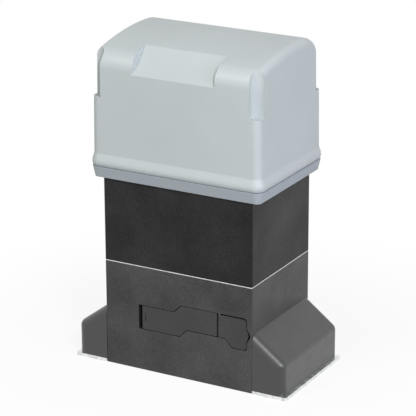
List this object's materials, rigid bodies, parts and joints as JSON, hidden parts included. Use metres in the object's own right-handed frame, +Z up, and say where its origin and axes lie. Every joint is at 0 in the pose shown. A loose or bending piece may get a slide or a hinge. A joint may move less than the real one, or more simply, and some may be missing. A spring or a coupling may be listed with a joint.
{
  "type": "sliding gate motor",
  "caption": "Sliding gate motor with worm drive, rear pinion, front release lever with key lock, and a lift-off arched cover.",
  "frame": {"origin": "centre of the foundation plate's underside", "axes": "+Z up, -Y is the front with the release lever, +Y is the back with the pinion, +X is to the right seen from the front"},
  "size_m": [0.2752, 0.1929, 0.386],
  "materials": {
    "zinc_plate": "hot-dip galvanised steel sheet",
    "zinc_steel": "bright zinc plate",
    "bright_steel": "ground",
    "gear_steel": "machined",
    "bearing_steel": "polished",
    "spring_steel": "oil tempered",
    "lamination": "stacked laminations",
    "lock_chrome": "polished",
    "housing_paint": "die cast aluminium with a charcoal powder coat",
    "cast_alloy": "die cast, uncoated",
    "gasket_foil": "bright foil",
    "bronze": "machined",
    "copper_wire": "varnished copper wire",
    "friction_lining": "pressed lining",
    "seal_rubber": "matt",
    "lever_plastic": "fine grain",
    "side_plastic": "satin",
    "cover_plastic": "fine satin grain",
    "tray_plastic": "fine satin grain",
    "black_plastic": "moulded",
    "circuit_board": "solder mask",
    "terminal_plastic": "moulded",
    "capacitor_can": "drawn"
  },
  "bodies": {
    "housing": {"foundation_plate": "zinc_plate", "plate_studs": "zinc_steel", "stud_fasteners": "zinc_steel", "gearbox_housing": "housing_paint", "housing_gasket": "gasket_foil", "motor_housing": "housing_paint", "housing_bolts": "zinc_steel", "oil_plugs": "zinc_steel", "hinge_pins": "spring_steel", "lock_body": "zinc_steel", "lock_nut": "zinc_steel", "release_spring": "spring_steel", "worm_bearings": "bearing_steel", "bearing_carrier": "cast_alloy", "output_bearings": "bearing_steel", "thrust_washer": "bronze", "shaft_seals": "seal_rubber", "stator_core": "lamination", "stator_windings": "copper_wire", "motor_bearings": "bearing_steel", "motor_end_shield": "cast_alloy", "inner_screws": "zinc_steel", "cover_tray": "tray_plastic", "duct_grommet": "seal_rubber", "board_carrier": "black_plastic", "control_board": "circuit_board", "terminal_blocks": "terminal_plastic", "board_relays": "black_plastic", "run_capacitor": "capacitor_can", "capacitor_clamp": "zinc_steel", "transformer_core": "lamination", "transformer_coil": "copper_wire", "limit_sensor": "black_plastic", "cover_seal": "seal_rubber"},
    "rotor": {"motor_shaft": "bright_steel", "rotor_core": "lamination", "clutch_drum": "gear_steel", "clutch_plates": "bright_steel", "clutch_spring": "spring_steel", "adjusting_rod": "bright_steel", "adjusting_screw": "zinc_steel"},
    "worm": {"worm_shaft": "gear_steel", "clutch_hub": "gear_steel", "friction_discs": "friction_lining"},
    "worm_wheel": {"worm_wheel": "bronze"},
    "output": {"output_shaft": "bright_steel", "pinion": "gear_steel", "pinion_key": "bright_steel", "pinion_screw": "zinc_steel"},
    "shift_dog": {"shift_dog": "gear_steel"},
    "shift_fork": {"shift_fork": "gear_steel", "release_plunger": "bright_steel"},
    "release_lever": {"release_lever": "lever_plastic"},
    "lock_flap": {"lock_flap": "lever_plastic"},
    "lock_plug": {"lock_plug": "lock_chrome", "lock_cam": "zinc_steel"},
    "top_cover": {"top_cover": "cover_plastic", "cover_screws": "zinc_steel"},
    "side_cover_right": {"side_cover_right": "side_plastic"},
    "side_cover_left": {"side_cover_left": "side_plastic"}
  },
  "joints": [
    {"name": "rotor_spin", "type": "hinge", "parent": "housing", "child": "rotor", "pos_m": [-0.041, -0.014, 0.198], "axis": [0, 0, 1], "continuous": true},
    {"name": "worm_spin", "type": "hinge", "parent": "housing", "child": "worm", "pos_m": [-0.041, -0.014, 0.07], "axis": [0, 0, 1], "continuous": true},
    {"name": "worm_wheel_spin", "type": "hinge", "parent": "housing", "child": "worm_wheel", "pos_m": [0, -0.014, 0.07], "axis": [0, 1, 0], "continuous": true},
    {"name": "output_spin", "type": "hinge", "parent": "housing", "child": "output", "pos_m": [0, 0.0895, 0.07], "axis": [0, 1, 0], "continuous": true},
    {"name": "release_lever_turn", "type": "hinge", "parent": "housing", "child": "release_lever", "pos_m": [0.0443, -0.0622, 0.075], "axis": [0, 0, 1], "range_deg": [0, 90]},
    {"name": "shift_fork_slide", "type": "slide", "parent": "housing", "child": "shift_fork", "axis": [0, 1, 0], "range_m": [0, 0.006], "deforming": ["release_spring"]},
    {"name": "shift_dog_slide", "type": "slide", "parent": "output", "child": "shift_dog", "axis": [0, 1, 0], "range_m": [0, 0.006]},
    {"name": "lock_flap_turn", "type": "hinge", "parent": "housing", "child": "lock_flap", "pos_m": [0.0531, -0.0677, 0.075], "axis": [0, 0, -1], "range_deg": [0, 90]},
    {"name": "lock_plug_turn", "type": "hinge", "parent": "housing", "child": "lock_plug", "pos_m": [0.076, -0.045, 0.07], "axis": [0, 1, 0], "range_deg": [0, 90]},
    {"name": "top_cover_lift", "type": "slide", "parent": "housing", "child": "top_cover", "axis": [0, 0, 1], "range_m": [0, 0.2]},
    {"name": "side_cover_right_pull", "type": "slide", "parent": "housing", "child": "side_cover_right", "axis": [1, 0, 0], "range_m": [0, 0.06]},
    {"name": "side_cover_left_pull", "type": "slide", "parent": "housing", "child": "side_cover_left", "axis": [-1, 0, 0], "range_m": [0, 0.06]}
  ],
  "couplings": [
    {"joint": "worm_spin", "follows": "rotor_spin", "ratio": 1},
    {"joint": "worm_wheel_spin", "follows": "rotor_spin", "ratio": -0.033333},
    {"joint": "output_spin", "follows": "rotor_spin", "ratio": -0.033333},
    {"joint": "shift_fork_slide", "follows": "release_lever_turn", "m_per_rad": 0.0038197},
    {"joint": "shift_dog_slide", "follows": "release_lever_turn", "m_per_rad": 0.0038197}
  ]
}
